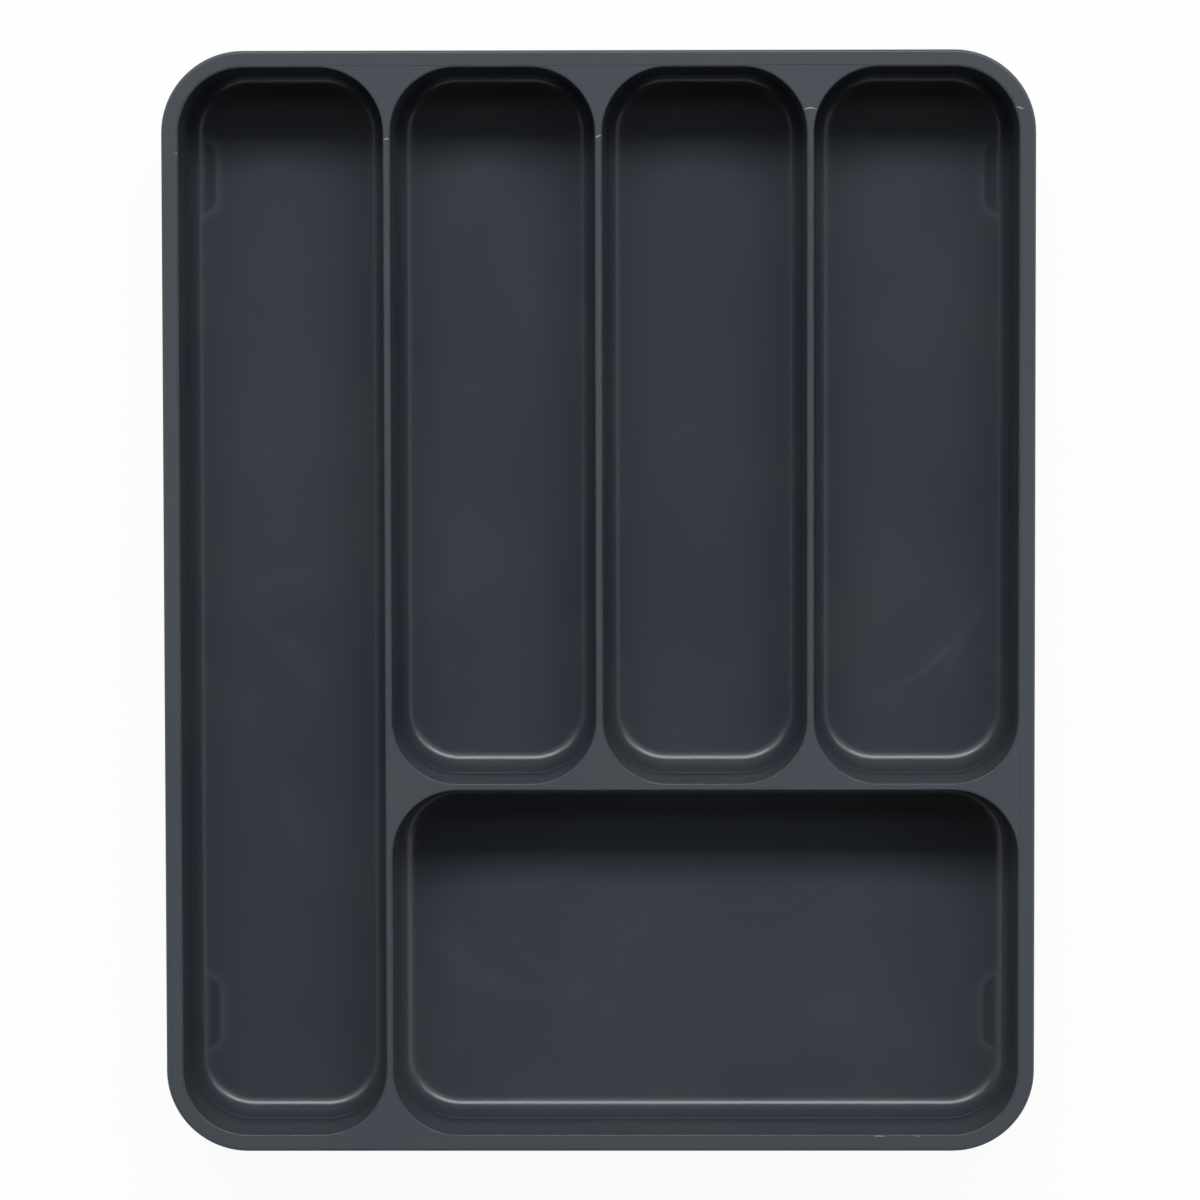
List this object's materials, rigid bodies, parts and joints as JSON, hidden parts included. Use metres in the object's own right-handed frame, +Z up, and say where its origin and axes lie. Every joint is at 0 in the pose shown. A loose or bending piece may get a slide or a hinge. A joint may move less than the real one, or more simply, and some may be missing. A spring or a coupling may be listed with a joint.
{
  "type": "cutlery tray",
  "caption": "Shallow moulded drawer tray with rounded compartments for cutlery: a long one at the side, medium ones beside it and a wide one in front, on soft pads.",
  "frame": {"origin": "middle of the footprint, on the surface that the pads stand on", "axes": "+X across the tray to the right, +Y from front to back along its length, +Z up"},
  "size_m": [0.312, 0.395, 0.048],
  "materials": {
    "tray_plastic": "fine matte moulded plastic, dark slate grey",
    "foot_rubber": "soft matte black"
  },
  "bodies": {
    "root": {"tray_body": "tray_plastic", "foot_pad_front_left": "foot_rubber", "foot_pad_front_right": "foot_rubber", "foot_pad_back_left": "foot_rubber", "foot_pad_back_right": "foot_rubber"}
  },
  "joints": []
}
